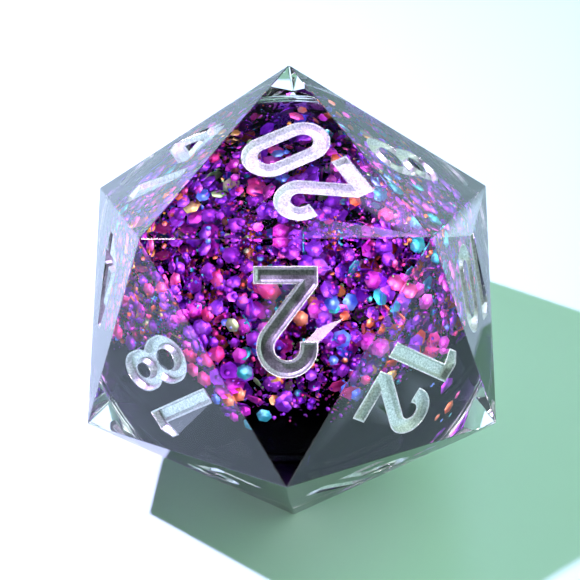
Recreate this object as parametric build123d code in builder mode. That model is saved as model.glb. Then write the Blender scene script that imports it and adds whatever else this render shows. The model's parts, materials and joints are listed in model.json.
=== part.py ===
"""A large twenty-sided die with a sealed liquid glitter core.

The die lies on the face numbered 1, with the 20 on top. The origin is the middle of that lowest
face, +Z is up, and the 20 and the 2 face the -Y side. All lengths are in millimetres.
"""

from build123d import *
import os
import random
from math import asin, atan2, cos, degrees, hypot, pi, radians, sin, sqrt

os.makedirs("parts", exist_ok=True)

# Driving dimensions of the cast body.
ACROSS_FLATS = 33.0  # between two opposite faces
EDGE_SETBACK = 0.06  # how far the polished bevel on an edge reaches into each face

# Driving dimensions of the numerals.
SINGLE_HEIGHT = 8.5  # height of a numeral of one digit
DOUBLE_HEIGHT = 7.5  # height of a numeral of two digits, and of one with a bar
STROKE = 1.38  # width of every stroke at the face
DIGIT_GAP = 0.8  # between two round digits
GAP_AFTER_ONE = 1.2  # between a 1 and the next digit
WIDE_NUMERAL_DROP = 1.35  # the widest numeral sits this much lower on its triangle
BARRED = (6, 9)  # numerals underlined so that they aren't read upside down
BAR_LENGTH = 3.0
BAR_GAP = 0.5
ENGRAVING_DEPTH = 0.6
ENGRAVING_DRAFT = 22.0  # degrees that each engraved wall leans outwards
PAINT_THICKNESS = 0.12
PAINT_RECESS = 0.03  # the paint's edge stays this far below the face

# Driving dimensions of the capsule cast into the body, and of what it holds.
CAPSULE_RADIUS = 15.7  # so that the deepest engraving stays clear of it
CAPSULE_WALL = 0.5
LAP_HEIGHT = 0.8  # the lower half's lip reaches this far up inside the upper half
PORT_OUTER_RADIUS = 1.0
PORT_INNER_RADIUS = 0.8
LIQUID_CLEARANCE = 0.1  # the liquid's surface stays this far from the capsule's wall
FLAKE_THICKNESS = 0.06
LARGE_FLAKE_RADIUS = 0.8  # to a corner of the hexagon
SMALL_FLAKE_RADIUS = 0.45
FLAKE_GAP = 0.06  # least room between the spheres that two flakes could turn in
SCATTER_SEED = 20
CLOUD_DEPTH = 0.2  # the flakes float in this outermost share of the liquid's radius
CLOUD_EDGE = 0.4  # and above this share of its radius over the centre, on the mean
CLOUD_WAVE = 0.1  # up and down round the ball
CLOUD_WAVES = 5
CLOUD_DROOP = 0.45  # lower at the back than at the front

# How many flakes of each colour there are: large ones, then small ones.
FLAKE_COUNTS = {
    "violet": (22, 38),
    "purple": (20, 30),
    "magenta": (16, 34),
    "rose": (18, 34),
    "orange": (12, 26),
    "gold": (6, 18),
    "green": (5, 12),
    "teal": (6, 14),
    "blue": (5, 14),
}

# Ratios of the regular icosahedron.
GOLDEN = (1 + sqrt(5)) / 2
CENTRE_HEIGHT = ACROSS_FLATS / 2
EDGE = ACROSS_FLATS * sqrt(3) / GOLDEN**2
FACE_RADIUS = EDGE / sqrt(3)  # from a face's middle to its corners
RING_RADIUS = EDGE * GOLDEN / sqrt(3)  # of the six corners round the waist
RING_HEIGHT = EDGE / (2 * sqrt(3) * GOLDEN)  # of those corners above or below the centre
CENTRE = Vector(0, 0, CENTRE_HEIGHT)

LIQUID_RADIUS = CAPSULE_RADIUS - CAPSULE_WALL - LIQUID_CLEARANCE


def corner(radius, height, turn):
    """A corner at a turn in degrees from +X, at a height above the die's centre."""
    return Vector(radius * cos(radians(turn)), radius * sin(radians(turn)), CENTRE_HEIGHT + height)


CORNERS = {
    "top_back": corner(FACE_RADIUS, CENTRE_HEIGHT, 90),
    "top_left": corner(FACE_RADIUS, CENTRE_HEIGHT, 210),
    "top_right": corner(FACE_RADIUS, CENTRE_HEIGHT, 330),
    "upper_right": corner(RING_RADIUS, RING_HEIGHT, 30),
    "upper_left": corner(RING_RADIUS, RING_HEIGHT, 150),
    "upper_front": corner(RING_RADIUS, RING_HEIGHT, 270),
    "lower_back": corner(RING_RADIUS, -RING_HEIGHT, 90),
    "lower_left": corner(RING_RADIUS, -RING_HEIGHT, 210),
    "lower_right": corner(RING_RADIUS, -RING_HEIGHT, 330),
    "foot_right": corner(FACE_RADIUS, -CENTRE_HEIGHT, 30),
    "foot_left": corner(FACE_RADIUS, -CENTRE_HEIGHT, 150),
    "foot_front": corner(FACE_RADIUS, -CENTRE_HEIGHT, 270),
}

# The three corners of each numbered face. The numeral's head points to the first of them.
FACES = {
    1: ("foot_right", "foot_front", "foot_left"),
    2: ("upper_front", "top_left", "top_right"),
    3: ("upper_right", "lower_back", "foot_right"),
    4: ("lower_left", "top_left", "upper_left"),
    5: ("upper_front", "lower_left", "foot_front"),
    6: ("lower_back", "top_back", "upper_left"),
    7: ("lower_right", "foot_front", "foot_right"),
    8: ("upper_right", "top_back", "top_right"),
    9: ("upper_left", "lower_back", "foot_left"),
    10: ("lower_right", "top_right", "upper_right"),
    11: ("upper_left", "lower_left", "foot_left"),
    12: ("lower_right", "top_right", "upper_front"),
    13: ("lower_left", "foot_front", "foot_left"),
    14: ("upper_left", "top_back", "top_left"),
    15: ("upper_front", "lower_right", "foot_front"),
    16: ("lower_back", "top_back", "upper_right"),
    17: ("upper_right", "lower_right", "foot_right"),
    18: ("lower_left", "top_left", "upper_front"),
    19: ("lower_back", "foot_left", "foot_right"),
    20: ("top_left", "top_back", "top_right"),
}


def face_middle(number):
    """The middle of a numbered face."""
    return sum((CORNERS[name] for name in FACES[number]), Vector()) / 3


def face_plane(number):
    """The plane of a numbered face: Z leaves the die and Y points to the numeral's head."""
    middle = face_middle(number)
    outward = middle - CENTRE
    upward = CORNERS[FACES[number][0]] - middle
    return Plane(origin=middle, x_dir=upward.cross(outward), z_dir=outward)


def bevelled_corners():
    """Each face's corners, drawn in along the face so that narrow bevels join the faces."""
    points = []
    for number, names in FACES.items():
        middle = face_middle(number)
        for name in names:
            point = CORNERS[name]
            points.append(point + (middle - point).normalized() * 2 * EDGE_SETBACK)
    return points


# Digits. Each stands on the X axis, and its strokes are STROKE wide with square-cut ends.


def oval(width, height, bottom, mode=Mode.ADD):
    """An upright oval: two half-circles joined by straight sides."""
    with Locations((0, bottom + height / 2)):
        SlotOverall(height, width, rotation=90, mode=mode)


def ring(width, height, bottom):
    """An upright oval ring of one stroke's width."""
    oval(width, height, bottom)
    oval(width - 2 * STROKE, height - 2 * STROKE, bottom + STROKE, Mode.SUBTRACT)


def digit_0(height):
    with BuildSketch() as digit:
        ring(0.59 * height, height, 0)
    return digit.sketch


def digit_1(height):
    flag = -0.95 * STROKE
    with BuildSketch() as digit:
        with BuildLine():
            Polyline(
                (0, 0),
                (STROKE, 0),
                (STROKE, height),
                (-0.25 * STROKE, height),
                (flag, height - 0.6 * STROKE),
                (flag, height - 1.25 * STROKE),
                (0, height - 0.95 * STROKE),
                (0, 0),
            )
        make_face()
    return digit.sketch


def digit_2(height):
    width = 0.573 * height
    bowl = 0.275 * height
    spine = bowl - STROKE / 2
    middle_x = bowl - width / 2
    middle_y = height - bowl
    foot_x = 0.03 * height - width / 2
    foot_y = 0.08 * height
    reach = hypot(middle_x - foot_x, middle_y - foot_y)
    lean = atan2(middle_y - foot_y, middle_x - foot_x) - asin(spine / reach)
    tip_x = (STROKE - width) / 2
    with BuildSketch() as digit:
        with BuildLine():
            Line((tip_x, middle_y - 0.057 * height), (tip_x, middle_y))
            bend = CenterArc((middle_x, middle_y), spine, 180, degrees(lean) - 270)
            Line(bend @ 1, (foot_x - STROKE * cos(lean), foot_y - STROKE * sin(lean)))
        trace(line_width=STROKE)
        Rectangle(width, height, align=(Align.CENTER, Align.MIN), mode=Mode.INTERSECT)
        Rectangle(width, STROKE, align=(Align.CENTER, Align.MIN))
    return digit.sketch


def lobes(height):
    """The two rings of an 8, the upper one smaller, with sides a little thinner than a stroke."""
    lower_width, lower_height = 0.55 * height, 0.61 * height
    upper_width, upper_height = 0.48 * height, 0.553 * height
    upper_bottom = height - upper_height
    sides = 1.7 * STROKE
    ends = 2 * STROKE
    oval(lower_width, lower_height, 0)
    oval(upper_width, upper_height, upper_bottom)
    oval(lower_width - sides, lower_height - ends, STROKE, Mode.SUBTRACT)
    oval(upper_width - sides, upper_height - ends, upper_bottom + STROKE, Mode.SUBTRACT)


def digit_3(height):
    with BuildSketch() as digit:
        lobes(height)
        with Locations((-0.05 * height, 0.22 * height)):
            Rectangle(height / 2, 0.56 * height, align=(Align.MAX, Align.MIN), mode=Mode.SUBTRACT)
    return digit.sketch


def digit_4(height):
    side = 0.33 * height
    stem = 0.065 * height
    bar = 0.2 * height
    low_y = bar + 0.9 * STROKE
    high_x = stem + 0.15 * STROKE
    slope = (height - low_y) / (high_x + side)
    drop = STROKE * sqrt(1 + slope**2)  # between the diagonal's two edges, straight down
    with BuildSketch() as digit:
        with BuildLine():
            Polyline(
                (-side, bar),
                (side, bar),
                (side, bar + STROKE),
                (stem + STROKE, bar + STROKE),
                (stem + STROKE, height),
                (high_x, height),
                (-side, low_y),
                (-side, bar),
            )
        make_face()
        with Locations((stem, 0)):
            Rectangle(STROKE, height / 2, align=(Align.MIN, Align.MIN))
        with BuildLine():
            Polyline(
                ((0.1 * STROKE + drop) / slope - side, bar + STROKE),
                (stem, bar + STROKE),
                (stem, low_y + slope * (stem + side) - drop),
                close=True,
            )
        make_face(mode=Mode.SUBTRACT)
    return digit.sketch


def digit_5(height):
    width = 0.57 * height
    bowl = 0.29 * height
    with BuildSketch() as digit:
        with BuildLine():
            CenterArc((width / 2 - bowl, bowl), bowl - STROKE / 2, -165, 305)
        trace(line_width=STROKE)
        with Locations((-width / 2, 0.4 * height)):
            Rectangle(STROKE, 0.6 * height, align=(Align.MIN, Align.MIN))
        with Locations((-width / 2, height - STROKE)):
            Rectangle(0.93 * width, STROKE, align=(Align.MIN, Align.MIN))
    return digit.sketch


def digit_6(height):
    width = 0.58 * height
    with BuildSketch() as digit:
        ring(width, height, 0)
        with Locations((0, 0.3 * height)):
            Rectangle(width, 0.42 * height, align=(Align.MIN, Align.MIN), mode=Mode.SUBTRACT)
        ring(width, 0.62 * height, 0)
    return digit.sketch


def digit_7(height):
    side = 0.275 * height
    foot = -0.17 * height
    with BuildSketch() as digit:
        with BuildLine():
            Polyline(
                (-side, height),
                (side, height),
                (side, height - STROKE),
                (foot + 1.08 * STROKE, 0),
                (foot, 0),
                (side - 1.2 * STROKE, height - STROKE),
                (-side, height - STROKE),
                (-side, height),
            )
        make_face()
    return digit.sketch


def digit_8(height):
    with BuildSketch() as digit:
        lobes(height)
    return digit.sketch


def digit_9(height):
    """A 6 turned upside down."""
    return Pos(0, height) * Rot(0, 0, 180) * digit_6(height)


DIGITS = (digit_0, digit_1, digit_2, digit_3, digit_4, digit_5, digit_6, digit_7, digit_8, digit_9)


def numeral_outlines(number):
    """The outlines of a numeral's digits, centred on its face's middle, with any bar below."""
    text = str(number)
    height = SINGLE_HEIGHT if len(text) == 1 and number not in BARRED else DOUBLE_HEIGHT
    digits = [DIGITS[int(character)](height) for character in text]
    gap = GAP_AFTER_ONE if text[0] == "1" else DIGIT_GAP
    boxes = [digit.bounding_box() for digit in digits]
    left = -(sum(box.size.X for box in boxes) + gap * (len(digits) - 1)) / 2
    bottom = -height / 2 - (WIDE_NUMERAL_DROP if number == 20 else 0)
    outlines = []
    for digit, box in zip(digits, boxes):
        outlines.append(Pos(left - box.min.X, bottom) * digit)
        left += box.size.X + gap
    if number in BARRED:
        outlines.append(Pos(0, bottom - BAR_GAP - STROKE / 2) * Rectangle(BAR_LENGTH, STROKE))
    return outlines


def tapered_cut(plane, outline, depth):
    """The space below a plane that a cutter with drafted sides clears."""
    with BuildPart() as cut:
        with BuildSketch(plane):
            add(outline)
        extrude(amount=-depth)
        walls = cut.faces().filter_by(lambda face: abs(face.normal_at().dot(plane.z_dir)) < 0.5)
        draft(walls, neutral_plane=plane, angle=-ENGRAVING_DRAFT)
    return cut.part


def in_cloud(turn, rise):
    """Whether a direction from the centre, as a turn from +X and a height share, meets the cloud."""
    from_front = (turn + pi / 2 + pi) % (2 * pi) - pi
    droop = CLOUD_DROOP * max(0, abs(from_front) / pi - 1 / 3)
    return rise > CLOUD_EDGE - CLOUD_WAVE * cos(CLOUD_WAVES * from_front) - droop


def scatter(generator, radius, spots):
    """A random place in the cloud for one flake, clear of the others, and its spin in degrees."""
    reach = LIQUID_RADIUS - radius - FLAKE_GAP
    while True:
        turn = generator.uniform(0, 2 * pi)
        rise = generator.uniform(-1, 1)
        flat = sqrt(1 - rise**2)
        outward = Vector(flat * cos(turn), flat * sin(turn), rise)
        middle = outward * reach * generator.uniform(1 - CLOUD_DEPTH, 1)
        clear = all((middle - other).length > radius + size + FLAKE_GAP for other, size in spots)
        if clear and in_cloud(turn, rise):
            break
    spots.append((middle, radius))
    lean = Vector(*(generator.uniform(-1, 1) for _ in range(3)))
    plane = Plane(origin=CENTRE + middle, z_dir=outward + lean)
    return plane, generator.uniform(0, 60)


# Cutters for the engraved numerals, and the paint that lines each of them. The paint's inside is
# the same cutter raised, because its leaning walls then stand in from the engraved ones.

cutters = {}
paint_rise = PAINT_THICKNESS / sin(radians(ENGRAVING_DRAFT))
bare_depth = ENGRAVING_DEPTH - PAINT_THICKNESS + paint_rise
for number in FACES:
    plane = face_plane(number)
    outlines = numeral_outlines(number)
    cutters[number] = [tapered_cut(plane, outline, ENGRAVING_DEPTH) for outline in outlines]
    with BuildPart() as numeral:
        for cutter in cutters[number]:
            add(cutter)
        for outline in outlines:
            add(tapered_cut(plane.offset(paint_rise), outline, bare_depth), mode=Mode.SUBTRACT)
        split(bisect_by=plane.offset(-PAINT_RECESS), keep=Keep.BOTTOM)
    numeral.part.label = f"numeral_{number:02d}"
    export_step(numeral.part, f"parts/numeral_{number:02d}.step")

# The cast body: an icosahedron with bevelled edges, the capsule's seat and the engraved numerals.

with BuildPart() as resin_body:
    ConvexPolyhedron(bevelled_corners())
    with Locations(CENTRE):
        Sphere(CAPSULE_RADIUS, mode=Mode.SUBTRACT)
    for number in FACES:
        for cutter in cutters[number]:
            add(cutter, mode=Mode.SUBTRACT)
resin_body.part.label = "resin_body"
export_step(resin_body.part, "parts/resin_body.step")

# The capsule: two half-shells with a stepped lap joint, and a tapered plug in the filling port.

capsule_plane = Plane(origin=CENTRE, x_dir=(1, 0, 0), z_dir=(0, -1, 0))
inner_radius = CAPSULE_RADIUS - CAPSULE_WALL
lap_radius = CAPSULE_RADIUS - CAPSULE_WALL / 2
inner_lap_turn = degrees(asin(LAP_HEIGHT / inner_radius))
outer_lap_turn = degrees(asin(LAP_HEIGHT / lap_radius))
inner_port_turn = degrees(asin(PORT_INNER_RADIUS / inner_radius))
outer_port_turn = degrees(asin(PORT_OUTER_RADIUS / CAPSULE_RADIUS))

with BuildPart() as capsule_upper:
    with BuildSketch(capsule_plane):
        with BuildLine():
            outer = CenterArc((0, 0), CAPSULE_RADIUS, 0, 90)
            inner = CenterArc((0, 0), inner_radius, inner_lap_turn, 90 - inner_lap_turn)
            lap = CenterArc((0, 0), lap_radius, 0, outer_lap_turn)
            Line(outer @ 1, inner @ 1)
            Line(inner @ 0, lap @ 1)
            Line(lap @ 0, outer @ 0)
        make_face()
    revolve(axis=Axis.Z)
capsule_upper.part.label = "capsule_upper"
export_step(capsule_upper.part, "parts/capsule_upper.step")

with BuildPart() as capsule_lower:
    with BuildSketch(capsule_plane):
        with BuildLine():
            outer = CenterArc((0, 0), CAPSULE_RADIUS, outer_port_turn - 90, 90 - outer_port_turn)
            lap = CenterArc((0, 0), lap_radius, 0, outer_lap_turn)
            inner_turn = 90 - inner_port_turn + inner_lap_turn
            inner = CenterArc((0, 0), inner_radius, inner_port_turn - 90, inner_turn)
            Line(outer @ 1, lap @ 0)
            Line(lap @ 1, inner @ 1)
            Line(inner @ 0, outer @ 0)
        make_face()
    revolve(axis=Axis.Z)
capsule_lower.part.label = "capsule_lower"
export_step(capsule_lower.part, "parts/capsule_lower.step")

port_mouth = -sqrt(CAPSULE_RADIUS**2 - PORT_OUTER_RADIUS**2)
port_throat = -sqrt(inner_radius**2 - PORT_INNER_RADIUS**2)
plug_taper = (PORT_OUTER_RADIUS - PORT_INNER_RADIUS) / (port_throat - port_mouth)
plug_tip_radius = PORT_INNER_RADIUS + plug_taper * (port_throat + inner_radius)

with BuildPart() as fill_plug:
    with BuildSketch(capsule_plane):
        with BuildLine():
            crown = CenterArc((0, 0), CAPSULE_RADIUS, -90, outer_port_turn)
            Polyline(crown @ 1, (plug_tip_radius, -inner_radius), (0, -inner_radius), crown @ 0)
        make_face()
    revolve(axis=Axis.Z)
fill_plug.part.label = "fill_plug"
export_step(fill_plug.part, "parts/fill_plug.step")

# The glitter: hexagonal flakes, one node for each size and colour, and the liquid round them.

chance = random.Random(SCATTER_SEED)
taken = []
flake_parts = []
for size, (size_name, radius) in enumerate((("large", LARGE_FLAKE_RADIUS), ("small", SMALL_FLAKE_RADIUS))):
    for colour, counts in FLAKE_COUNTS.items():
        name = f"flakes_{size_name}_{colour}"
        with BuildPart() as flakes:
            for _ in range(counts[size]):
                flake_plane, spin = scatter(chance, radius, taken)
                with BuildSketch(flake_plane):
                    RegularPolygon(radius, 6, rotation=spin)
            extrude(amount=FLAKE_THICKNESS / 2, both=True)
        flakes.part.label = name
        export_step(flakes.part, f"parts/{name}.step")
        flake_parts.append(flakes.part)

with BuildPart() as core_liquid:
    with Locations(CENTRE):
        Sphere(LIQUID_RADIUS)
    for flake_part in flake_parts:
        add(flake_part, mode=Mode.SUBTRACT)
core_liquid.part.label = "core_liquid"
export_step(core_liquid.part, "parts/core_liquid.step")
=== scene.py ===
"""The looks of a large clear twenty-sided die with a sealed core of dark liquid and glitter."""

import json
import math

import bmesh
import bpy
import numpy as np
from mathutils import Matrix, Vector

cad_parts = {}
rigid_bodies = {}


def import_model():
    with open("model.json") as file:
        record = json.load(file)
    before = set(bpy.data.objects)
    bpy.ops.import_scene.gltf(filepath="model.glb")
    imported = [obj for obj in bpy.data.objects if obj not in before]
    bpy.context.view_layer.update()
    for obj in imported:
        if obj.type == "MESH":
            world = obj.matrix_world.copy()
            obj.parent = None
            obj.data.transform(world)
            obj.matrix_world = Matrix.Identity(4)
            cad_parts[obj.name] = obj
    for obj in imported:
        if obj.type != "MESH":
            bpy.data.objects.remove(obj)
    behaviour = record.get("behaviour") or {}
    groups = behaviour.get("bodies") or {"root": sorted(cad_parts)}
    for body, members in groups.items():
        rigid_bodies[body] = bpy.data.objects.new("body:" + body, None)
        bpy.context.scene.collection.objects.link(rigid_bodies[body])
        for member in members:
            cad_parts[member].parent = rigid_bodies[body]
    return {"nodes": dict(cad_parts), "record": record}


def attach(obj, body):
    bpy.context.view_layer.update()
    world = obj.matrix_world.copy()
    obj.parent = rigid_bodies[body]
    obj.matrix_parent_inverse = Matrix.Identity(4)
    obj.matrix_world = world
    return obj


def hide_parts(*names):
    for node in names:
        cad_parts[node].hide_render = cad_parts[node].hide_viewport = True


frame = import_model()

MM = 0.001
GOLDEN = (1 + math.sqrt(5)) / 2
ACROSS_FLATS = 33.0 * MM
EDGE = ACROSS_FLATS * math.sqrt(3) / GOLDEN**2
CENTRE = Vector((0, 0, ACROSS_FLATS / 2))

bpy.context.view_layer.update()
scene = bpy.context.scene


def new_material(name):
    """An empty node material, with its tree and its output node."""
    material = bpy.data.materials.new(name)
    material.use_nodes = True
    material.node_tree.nodes.clear()
    output = material.node_tree.nodes.new("ShaderNodeOutputMaterial")
    return material, material.node_tree, output


def noise(tree, scale, detail, roughness=0.5):
    """A noise texture over the object's own coordinates, which are in metres."""
    place = tree.nodes.new("ShaderNodeTexCoord")
    node = tree.nodes.new("ShaderNodeTexNoise")
    node.inputs["Scale"].default_value = scale
    node.inputs["Detail"].default_value = detail
    node.inputs["Roughness"].default_value = roughness
    tree.links.new(place.outputs["Object"], node.inputs["Vector"])
    return node.outputs["Fac"]


def ramp(tree, source, stops):
    """A colour ramp from position and colour pairs."""
    node = tree.nodes.new("ShaderNodeValToRGB")
    elements = node.color_ramp.elements
    while len(elements) > 1:
        elements.remove(elements[-1])
    elements[0].position, elements[0].color = stops[0][0], (*stops[0][1], 1)
    for position, colour in stops[1:]:
        elements.new(position).color = (*colour, 1)
    tree.links.new(source, node.inputs["Fac"])
    return node.outputs["Color"]


def map_range(tree, source, low, high, new_low, new_high):
    """A value carried from one range to another, and held at its ends."""
    node = tree.nodes.new("ShaderNodeMapRange")
    node.inputs["From Min"].default_value = low
    node.inputs["From Max"].default_value = high
    node.inputs["To Min"].default_value = new_low
    node.inputs["To Max"].default_value = new_high
    tree.links.new(source, node.inputs["Value"])
    return node.outputs["Result"]


# The clear materials. The capsule and the liquid lie inside the resin, so their indices are the
# small steps between neighbours.

RESIN_INDEX = 1.53
CAPSULE_STEP = 1.03
LIQUID_STEP = 1.01


def clear_material(name, index, tint):
    """Clear polished plastic or a clear liquid."""
    material, tree, output = new_material(name)
    shader = tree.nodes.new("ShaderNodeBsdfPrincipled")
    shader.inputs["Base Color"].default_value = (*tint, 1)
    shader.inputs["Transmission Weight"].default_value = 1.0
    shader.inputs["IOR"].default_value = index
    shader.inputs["Roughness"].default_value = 0.0
    tree.links.new(shader.outputs["BSDF"], output.inputs["Surface"])
    return material


def absorb(material, colour, density):
    """Let a clear material darken with depth."""
    tree = material.node_tree
    output = next(node for node in tree.nodes if node.type == "OUTPUT_MATERIAL")
    absorption = tree.nodes.new("ShaderNodeVolumeAbsorption")
    absorption.inputs["Color"].default_value = (*colour, 1)
    absorption.inputs["Density"].default_value = density
    tree.links.new(absorption.outputs["Volume"], output.inputs["Volume"])


resin_material = clear_material("clear_resin", RESIN_INDEX, (0.985, 0.985, 1.0))
capsule_material = clear_material("capsule_shell", CAPSULE_STEP, (0.99, 0.98, 1.0))
liquid_material = clear_material("core_liquid", LIQUID_STEP, (1, 1, 1))
absorb(liquid_material, (0.45, 0.02, 0.58), 480.0)

# The silver paint: a fine bright and dark grain, and a sheen that varies over a few grains.

GRAIN_SCALE = 6500
SHEEN_SCALE = 900
GRAIN_STOPS = ((0.30, (0.36, 0.40, 0.38)), (0.5, (0.66, 0.70, 0.68)), (0.68, (0.93, 0.95, 0.94)))
GRAIN_HEIGHT = 0.05 * MM


def silver_paint():
    material, tree, output = new_material("silver_paint")
    shader = tree.nodes.new("ShaderNodeBsdfPrincipled")
    grain = noise(tree, GRAIN_SCALE, 3.0, 0.7)
    sheen = noise(tree, SHEEN_SCALE, 2.0)
    tree.links.new(ramp(tree, grain, GRAIN_STOPS), shader.inputs["Base Color"])
    shader.inputs["Metallic"].default_value = 1.0
    tree.links.new(map_range(tree, sheen, 0.3, 0.7, 0.28, 0.46), shader.inputs["Roughness"])
    bump = tree.nodes.new("ShaderNodeBump")
    bump.inputs["Strength"].default_value = 0.5
    bump.inputs["Distance"].default_value = GRAIN_HEIGHT
    tree.links.new(grain, bump.inputs["Height"])
    tree.links.new(bump.outputs["Normal"], shader.inputs["Normal"])
    tree.links.new(shader.outputs["BSDF"], output.inputs["Surface"])
    return material


# The glitter: each colour drifts between three near shades from flake to flake.

DRIFT_SCALE = 1100
FLAKE_SHADES = {
    "violet": ((0.20, 0.03, 0.62), (0.36, 0.06, 0.85), (0.55, 0.16, 0.95)),
    "purple": ((0.14, 0.01, 0.30), (0.30, 0.03, 0.55), (0.48, 0.08, 0.75)),
    "magenta": ((0.62, 0.03, 0.55), (0.88, 0.08, 0.72), (0.98, 0.25, 0.90)),
    "rose": ((0.80, 0.04, 0.22), (0.95, 0.10, 0.38), (1.00, 0.22, 0.55)),
    "orange": ((0.90, 0.14, 0.06), (1.00, 0.28, 0.10), (1.00, 0.42, 0.22)),
    "gold": ((0.95, 0.42, 0.05), (0.98, 0.62, 0.14), (0.90, 0.80, 0.30)),
    "green": ((0.22, 0.75, 0.16), (0.42, 0.88, 0.30), (0.70, 0.95, 0.40)),
    "teal": ((0.03, 0.50, 0.52), (0.06, 0.72, 0.62), (0.25, 0.85, 0.80)),
    "blue": ((0.06, 0.14, 0.80), (0.14, 0.33, 0.95), (0.30, 0.55, 1.00)),
}


def flake_material(colour):
    """Half-metallic film of one colour."""
    material, tree, output = new_material("flake_" + colour)
    shader = tree.nodes.new("ShaderNodeBsdfPrincipled")
    drift = noise(tree, DRIFT_SCALE, 1.0)
    stops = tuple(zip((0.32, 0.5, 0.66), FLAKE_SHADES[colour]))
    tree.links.new(ramp(tree, drift, stops), shader.inputs["Base Color"])
    shader.inputs["Metallic"].default_value = 0.7
    shader.inputs["Roughness"].default_value = 0.4
    tree.links.new(shader.outputs["BSDF"], output.inputs["Surface"])
    return material


# The CAD's own pieces: paint on the numerals, film on the flakes, and clear plastic on the capsule.

paint_material = silver_paint()
flake_materials = {colour: flake_material(colour) for colour in FLAKE_SHADES}

for name, node in frame["nodes"].items():
    if name.startswith("numeral"):
        material = paint_material
    elif name.startswith("flakes"):
        material = flake_materials[name.rsplit("_", 1)[1]]
    else:
        material = capsule_material
    node.data.materials.clear()
    node.data.materials.append(material)


def add_piece(name, mesh, material, body):
    """A new piece that moves with a body."""
    piece = bpy.data.objects.new(name, mesh)
    scene.collection.objects.link(piece)
    mesh.materials.clear()
    mesh.materials.append(material)
    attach(piece, body)
    return piece


# The resin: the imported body's outside, with the capsule's seat left out, since the capsule fills it.

SEAT_LIMIT = 15.8 * MM  # further out than the capsule's seat, and further in than any engraving
OUTSIDE_DEPTH = 0.07 * MM  # the bevels lie no deeper than this below the faces' planes
PAINT_SINK = 0.06 * MM  # how far the engraved walls move into the paint film
WELD_DISTANCE = 0.0001 * MM
SHARP_ANGLE = math.radians(14)
face_directions = np.array([mount["axis"] for mount in frame["record"]["mounts"]])


def depth_below_faces(point):
    """How far a point lies inside the nearest of the twenty faces' planes."""
    return ACROSS_FLATS / 2 - float((face_directions @ np.array(point - CENTRE)).max())


def engraving_move(vertex, depths):
    """The way that one vertex goes, so that the engraved faces round it sink into the paint."""
    faces = vertex.link_faces
    sinks = [PAINT_SINK if any(depths[v] > OUTSIDE_DEPTH for v in f.verts) else 0.0 for f in faces]
    if not any(sinks):
        return None
    normals = np.array([face.normal for face in faces])
    move = np.linalg.lstsq(normals, np.array(sinks), rcond=0.05)[0]
    if depths[vertex] <= OUTSIDE_DEPTH:
        # The rim of the engraving stays in its face's plane.
        plane = face_directions[(face_directions @ np.array(vertex.co - CENTRE)).argmax()]
        move -= (move @ plane) * plane
    return Vector(move * min(1.0, 2 * PAINT_SINK / np.linalg.norm(move)))


def resin_mesh(source):
    """The outside of the body, with its engraved walls and floors moved into the paint film."""
    shape = bmesh.new()
    shape.from_mesh(source)
    bmesh.ops.remove_doubles(shape, verts=shape.verts, dist=WELD_DISTANCE)
    seat = [v for v in shape.verts if (v.co - CENTRE).length < SEAT_LIMIT]
    bmesh.ops.delete(shape, geom=seat, context="VERTS")
    bmesh.ops.recalc_face_normals(shape, faces=shape.faces)
    shape.normal_update()
    depths = {v: depth_below_faces(v.co) for v in shape.verts}
    moves = {v: engraving_move(v, depths) for v in shape.verts}
    for vertex, move in moves.items():
        if move is not None:
            vertex.co += move
    mesh = bpy.data.meshes.new("resin_visual")
    shape.to_mesh(mesh)
    shape.free()
    mesh.polygons.foreach_set("use_smooth", [True] * len(mesh.polygons))
    mesh.set_sharp_from_angle(angle=SHARP_ANGLE)
    return mesh


outside = resin_mesh(frame["nodes"]["resin_body"].data)
resin = add_piece("resin_visual", outside, resin_material, "die")
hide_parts("resin_body")

# The liquid: one smooth ball just inside the capsule.

LIQUID_RADIUS = 15.05 * MM


def ball_mesh(name, radius):
    """A finely divided ball round the die's centre."""
    shape = bmesh.new()
    bmesh.ops.create_icosphere(shape, subdivisions=5, radius=radius, matrix=Matrix.Translation(CENTRE))
    mesh = bpy.data.meshes.new(name)
    shape.to_mesh(mesh)
    shape.free()
    mesh.polygons.foreach_set("use_smooth", [True] * len(mesh.polygons))
    return mesh


ball = ball_mesh("liquid_visual", LIQUID_RADIUS)
liquid = add_piece("liquid_visual", ball, liquid_material, "glitter_core")
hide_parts("core_liquid")

# More glitter than the CAD's: closed hexagonal chips, one piece for each colour. A colour has its
# share of all the chips, and a lean towards +X.

COLOUR_SHARES = {
    "violet": (0.30, 0.25),
    "purple": (0.23, 0.0),
    "magenta": (0.17, 0.35),
    "rose": (0.10, -0.45),
    "orange": (0.055, -0.6),
    "gold": (0.025, -0.4),
    "green": (0.02, -0.5),
    "teal": (0.04, 0.0),
    "blue": (0.06, 0.2),
}
# Each layer: chips, smallest and largest radius, depth as a share of the radius, and how far chips tilt.
LAYERS = (
    (300, 0.40 * MM, 0.80 * MM, 0.03, 0.35),
    (1900, 0.12 * MM, 0.32 * MM, 0.16, 0.7),
    (8500, 0.05 * MM, 0.13 * MM, 0.22, 3.0),
    (380, 0.55 * MM, 0.95 * MM, 0.30, 1.2),
)
CHIP_SIDES = 6
CHIP_THICKNESS = 0.03 * MM
MIDDLE_GAP = 0.06 * MM  # a chip's middle stays this far inside the liquid's surface
RIM_GAP = 0.05 * MM  # and its rim this far, if it lies along the surface
# The cloud's lower edge: degrees round from the front, and its height as a share of the radius.
CLOUD_EDGE = (
    (-180, 0.1), (-75, 0.12), (-63, 0.27), (-51, 0.46), (-40, 0.48), (-29, 0.44), (-19, 0.35), (-10, 0.28),
    (0, 0.27), (14, 0.34), (26, 0.42), (37, 0.33), (51, 0.36), (67, 0.27), (80, 0.18), (180, 0.1),
)
EDGE_FEATHER = 0.03
EDGE_TURNS, EDGE_HEIGHTS = zip(*CLOUD_EDGE)
chance = np.random.default_rng(7)


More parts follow.
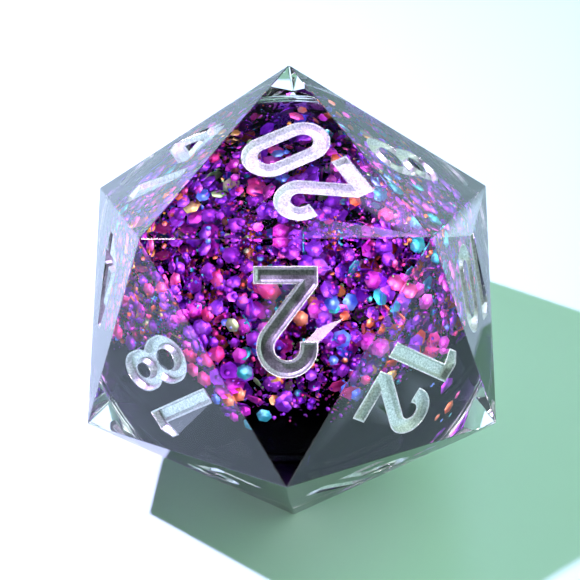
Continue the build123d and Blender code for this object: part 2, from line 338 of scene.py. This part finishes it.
def unit(vectors):
    return vectors / np.linalg.norm(vectors, axis=1)[:, None]


def directions(count):
    """Directions spread evenly over the sphere."""
    return unit(chance.normal(size=(count, 3)))


def outside_cloud(outward, lean):
    """Which directions miss the cloud: it has a feathered edge, clumps, and a side each colour prefers."""
    x, y, z = outward.T
    count = len(outward)
    from_front = np.degrees(np.arctan2(x, -y))
    above = z - np.interp(from_front, EDGE_TURNS, EDGE_HEIGHTS)
    below_edge = above < chance.normal(0.0, EDGE_FEATHER, count)
    waves = np.sin(9 * x + 4 * y + 1) * np.sin(8 * y - 5 * z + 2) * np.sin(7 * z + 6 * x)
    clumps = 0.62 + 0.38 * waves
    side = 1 + lean * x
    back = 1 - 0.9 * np.clip((y - 0.15) / 0.4, 0, 1)
    return below_edge | (chance.uniform(0, 1.3, count) > clumps * side * back)


def scatter_chips(layer, share, lean):
    """Radii, middles and axes of one colour's chips in a layer."""
    total, smallest, largest, depth, tilt = layer
    count = round(total * share)
    radii = chance.uniform(smallest, largest, count)
    outward = np.empty((0, 3))
    while len(outward) < count:
        tried = directions(4 * count)
        outward = np.concatenate([outward, tried[~outside_cloud(tried, lean)]])
    outward = outward[:count]
    reach = (LIQUID_RADIUS - MIDDLE_GAP) * chance.uniform(1 - depth, 1, count)
    flat_reach = np.sqrt((LIQUID_RADIUS - RIM_GAP) ** 2 - radii**2)
    reach = np.minimum(reach, flat_reach - radii * min(tilt, 1) * 0.6)
    axes = unit(outward + tilt * directions(count))
    return radii, outward * reach[:, None] + np.array(CENTRE), axes


# A few large flakes stick to the wall below the cloud: degrees round from +X towards +Y, height as
# a share of the radius, flake radius in millimetres, and colour.
STRAYS = (
    (-35.4, 0.06, 0.84, "purple"),
    (-34.6, -0.15, 0.66, "orange"),
    (-37.5, -0.38, 0.80, "purple"),
    (-42.0, -0.42, 0.62, "magenta"),
    (-40.5, -0.14, 0.36, "orange"),
    (-30.0, -0.12, 0.40, "rose"),
    (-33.0, -0.26, 0.22, "teal"),
    (-38.0, -0.22, 0.20, "blue"),
    (-41.6, 0.17, 0.24, "blue"),
    (-36.5, 0.21, 0.30, "magenta"),
)
STRAY_GAP = 0.12 * MM
STRAY_TILT = 0.1


def stray_chip(turn, height, radius):
    """Radius, middle and axis of one stray flake, as the scattered chips have them."""
    level_share = math.sqrt(1 - height**2)
    turn = math.radians(turn)
    outward = np.array([math.cos(turn) * level_share, math.sin(turn) * level_share, height])
    middle = outward * (LIQUID_RADIUS - STRAY_GAP) + np.array(CENTRE)
    axis = unit((outward + STRAY_TILT * directions(1)[0])[None, :])
    return np.array([radius * MM]), middle[None, :], axis


def chips_mesh(name, radii, middles, axes):
    """Hexagonal chips as one mesh: each has a rim above, the same rim below, two caps and six walls."""
    count = len(radii)
    across = unit(np.cross(axes, directions(count)))
    other = np.cross(axes, across)
    turns = np.arange(CHIP_SIDES) * 2 * math.pi / CHIP_SIDES
    rim = np.cos(turns)[None, :, None] * across[:, None, :] + np.sin(turns)[None, :, None] * other[:, None, :]
    rim = rim * radii[:, None, None] + middles[:, None, :]
    lift = axes[:, None, :] * CHIP_THICKNESS / 2
    points = np.concatenate([rim + lift, rim - lift], axis=1).reshape(-1, 3)
    nexts = [(k, (k + 1) % CHIP_SIDES) for k in range(CHIP_SIDES)]
    walls = [(k, k + CHIP_SIDES, after + CHIP_SIDES, after) for k, after in nexts]
    caps = [tuple(range(CHIP_SIDES)), tuple(reversed(range(CHIP_SIDES, 2 * CHIP_SIDES)))]
    corners = np.array([corner for face in caps + walls for corner in face])
    sizes = np.array([len(face) for face in caps + walls])
    loops = (corners[None, :] + np.arange(count)[:, None] * 2 * CHIP_SIDES).ravel()
    starts = np.concatenate([[0], np.cumsum(np.tile(sizes, count))[:-1]])
    mesh = bpy.data.meshes.new(name)
    mesh.vertices.add(len(points))
    mesh.vertices.foreach_set("co", points.astype(np.float32).ravel())
    mesh.loops.add(len(loops))
    mesh.loops.foreach_set("vertex_index", loops.astype(np.int32))
    mesh.polygons.add(len(starts))
    mesh.polygons.foreach_set("loop_start", starts.astype(np.int32))
    mesh.update(calc_edges=True)
    mesh.validate()
    return mesh


for colour, (share, lean) in COLOUR_SHARES.items():
    batches = [scatter_chips(layer, share, lean) for layer in LAYERS]
    batches += [stray_chip(*stray[:3]) for stray in STRAYS if stray[3] == colour]
    radii, middles, axes = (np.concatenate(parts) for parts in zip(*batches))
    mesh = chips_mesh("glitter_" + colour, radii, middles, axes)
    add_piece("glitter_" + colour, mesh, flake_materials[colour], "glitter_core")

# The camera: from the front and above, turned a little about its own axis.

CAMERA_AZIMUTH = 0.04634
CAMERA_ELEVATION = 0.92477
CAMERA_ROLL = -0.0402
CAMERA_DISTANCE = 4.72235 * EDGE
TARGET = CENTRE + Vector((-0.00422, 0, 0.0793)) * EDGE
FOCAL_LENGTH = 72.8944  # in millimetres, for a sensor of the width below
SENSOR_WIDTH = 36

flat = math.cos(CAMERA_ELEVATION)
to_camera = Vector(
    (math.sin(CAMERA_AZIMUTH) * flat, -math.cos(CAMERA_AZIMUTH) * flat, math.sin(CAMERA_ELEVATION))
)


def add_camera():
    level = Vector((0, 0, 1)).cross(to_camera).normalized()
    upright = to_camera.cross(level)
    right = math.cos(CAMERA_ROLL) * level + math.sin(CAMERA_ROLL) * upright
    above = math.cos(CAMERA_ROLL) * upright - math.sin(CAMERA_ROLL) * level
    data = bpy.data.cameras.new("camera")
    data.lens = FOCAL_LENGTH
    data.sensor_width = SENSOR_WIDTH
    data.clip_start = 0.005
    data.clip_end = 20
    camera = bpy.data.objects.new("camera", data)
    turn = Matrix((right, above, to_camera)).transposed().to_4x4()
    camera.matrix_world = Matrix.Translation(TARGET + to_camera * CAMERA_DISTANCE) @ turn
    scene.collection.objects.link(camera)
    scene.camera = camera


add_camera()

# The floor: a pale green, and so brightly lit that only its shadows show the colour.

FLOOR_DROP = 0.05 * MM
FLOOR_HALF = 1.5


def add_floor():
    mesh = bpy.data.meshes.new("floor")
    corners = [(x * FLOOR_HALF, y * FLOOR_HALF, 0) for x, y in ((-1, -1), (1, -1), (1, 1), (-1, 1))]
    mesh.from_pydata(corners, [], [(0, 1, 2, 3)])
    floor = bpy.data.objects.new("floor", mesh)
    floor.location.z = -FLOOR_DROP
    scene.collection.objects.link(floor)
    material, tree, output = new_material("floor")
    matte = tree.nodes.new("ShaderNodeBsdfDiffuse")
    matte.inputs["Color"].default_value = (0.50, 0.84, 0.62, 1)
    tree.links.new(matte.outputs["BSDF"], output.inputs["Surface"])
    mesh.materials.append(material)
    return floor


floor = add_floor()

# The studio: a room lit from the right, dark behind the camera and where the top face mirrors it,
# with a pale band round the horizon and a lilac window high at the back.

MIRRORED_BACK = (-0.04, 0.66, 0.75)
ROOM_SIDE = (0.80, 0.0, 0.60)
ROOM_COLOUR = (0.80, 1.0, 0.92)
BAND_COLOUR = (1.0, 1.0, 1.0)
WINDOW_DIRECTION = (0.13, 0.58, 0.80)
WINDOW_COLOUR = (0.60, 0.50, 1.0)


def facing(tree, place, direction, low, high, new_low, new_high):
    """A value that changes from new_low to new_high as the view turns towards a direction."""
    node = tree.nodes.new("ShaderNodeVectorMath")
    node.operation = "DOT_PRODUCT"
    tree.links.new(place, node.inputs[0])
    node.inputs[1].default_value = direction
    return map_range(tree, node.outputs["Value"], low, high, new_low, new_high)


def multiply(tree, first, second):
    node = tree.nodes.new("ShaderNodeMath")
    node.operation = "MULTIPLY"
    tree.links.new(first, node.inputs[0])
    tree.links.new(second, node.inputs[1])
    return node.outputs["Value"]


def glow(tree, colour, strength):
    node = tree.nodes.new("ShaderNodeBackground")
    node.inputs["Color"].default_value = (*colour, 1)
    tree.links.new(strength, node.inputs["Strength"])
    return node.outputs["Background"]


def add(tree, first, second):
    node = tree.nodes.new("ShaderNodeAddShader")
    tree.links.new(first, node.inputs[0])
    tree.links.new(second, node.inputs[1])
    return node.outputs["Shader"]


def add_studio():
    world = bpy.data.worlds.new("studio")
    scene.world = world
    world.use_nodes = True
    tree = world.node_tree
    tree.nodes.clear()
    place = tree.nodes.new("ShaderNodeTexCoord").outputs["Generated"]
    split = tree.nodes.new("ShaderNodeSeparateXYZ")
    tree.links.new(place, split.inputs["Vector"])
    behind_camera = facing(tree, place, tuple(to_camera), 0.70, 0.90, 1.0, 0.0)
    behind_die = facing(tree, place, MIRRORED_BACK, 0.93, 0.98, 1.0, 0.05)
    from_right = facing(tree, place, ROOM_SIDE, 0.15, 0.95, 0.04, 2.2)
    room_light = multiply(tree, multiply(tree, behind_camera, behind_die), from_right)
    room = glow(tree, ROOM_COLOUR, room_light)
    band = glow(tree, BAND_COLOUR, map_range(tree, split.outputs["Z"], 0.06, 0.18, 0.9, 0.0))
    window = glow(tree, WINDOW_COLOUR, facing(tree, place, WINDOW_DIRECTION, 0.983, 0.993, 0.0, 10.0))
    output = tree.nodes.new("ShaderNodeOutputWorld")
    tree.links.new(add(tree, add(tree, room, band), window), output.inputs["Surface"])


add_studio()

# The lamps: a small near one gives the sharp shadow, and three soft ones light only the clear pieces
# and the glitter, because the small one's light cannot find its way through the resin.

KEY_DIRECTION = Vector((-0.4414, 0.0879, 0.8930))
KEY_DISTANCE = 123.1 * MM
KEY_RADIUS = 1.5 * MM
SOFT_DISTANCE = 170 * MM
WIDE = 120 * MM
NARROW = 80 * MM

soft_lit = bpy.data.collections.new("dice_parts")
for item in scene.objects:
    if item.type == "MESH" and item != floor and not item.name.startswith("numeral"):
        soft_lit.objects.link(item)


def soft_lamp(name, direction, energy, colour, size):
    """A round soft lamp that looks at the die, and leaves the floor and the paint alone."""
    data = bpy.data.lights.new(name, "AREA")
    data.shape = "DISK"
    data.size = size
    data.energy = energy
    data.color = colour
    lamp = bpy.data.objects.new(name, data)
    outward = Vector(direction).normalized()
    lamp.location = CENTRE + outward * SOFT_DISTANCE
    lamp.rotation_euler = outward.to_track_quat("Z", "Y").to_euler()
    lamp.visible_camera = False
    lamp.light_linking.receiver_collection = soft_lit
    scene.collection.objects.link(lamp)


def key_lamp():
    data = bpy.data.lights.new("key", "POINT")
    data.energy = 1.95
    data.color = (0.72, 0.45, 1.0)
    data.shadow_soft_size = KEY_RADIUS
    lamp = bpy.data.objects.new("key", data)
    lamp.location = CENTRE + KEY_DIRECTION * KEY_DISTANCE
    lamp.visible_camera = False
    scene.collection.objects.link(lamp)


soft_lamp("soft_left", KEY_DIRECTION, 0.8, (1.0, 0.9, 1.0), WIDE)
soft_lamp("soft_right", (0.62, -0.42, 0.66), 1.6, (1.0, 0.8, 1.0), WIDE)
soft_lamp("soft_front", (0.10, -0.97, 0.22), 0.35, (1.0, 0.75, 1.0), NARROW)
key_lamp()

# Light passes many clear surfaces before it reaches a flake.

CLEAR_BOUNCES = 24
scene.view_settings.view_transform = "Standard"
scene.cycles.max_bounces = CLEAR_BOUNCES
scene.cycles.transmission_bounces = CLEAR_BOUNCES
scene.cycles.glossy_bounces = 12
scene.cycles.diffuse_bounces = 4
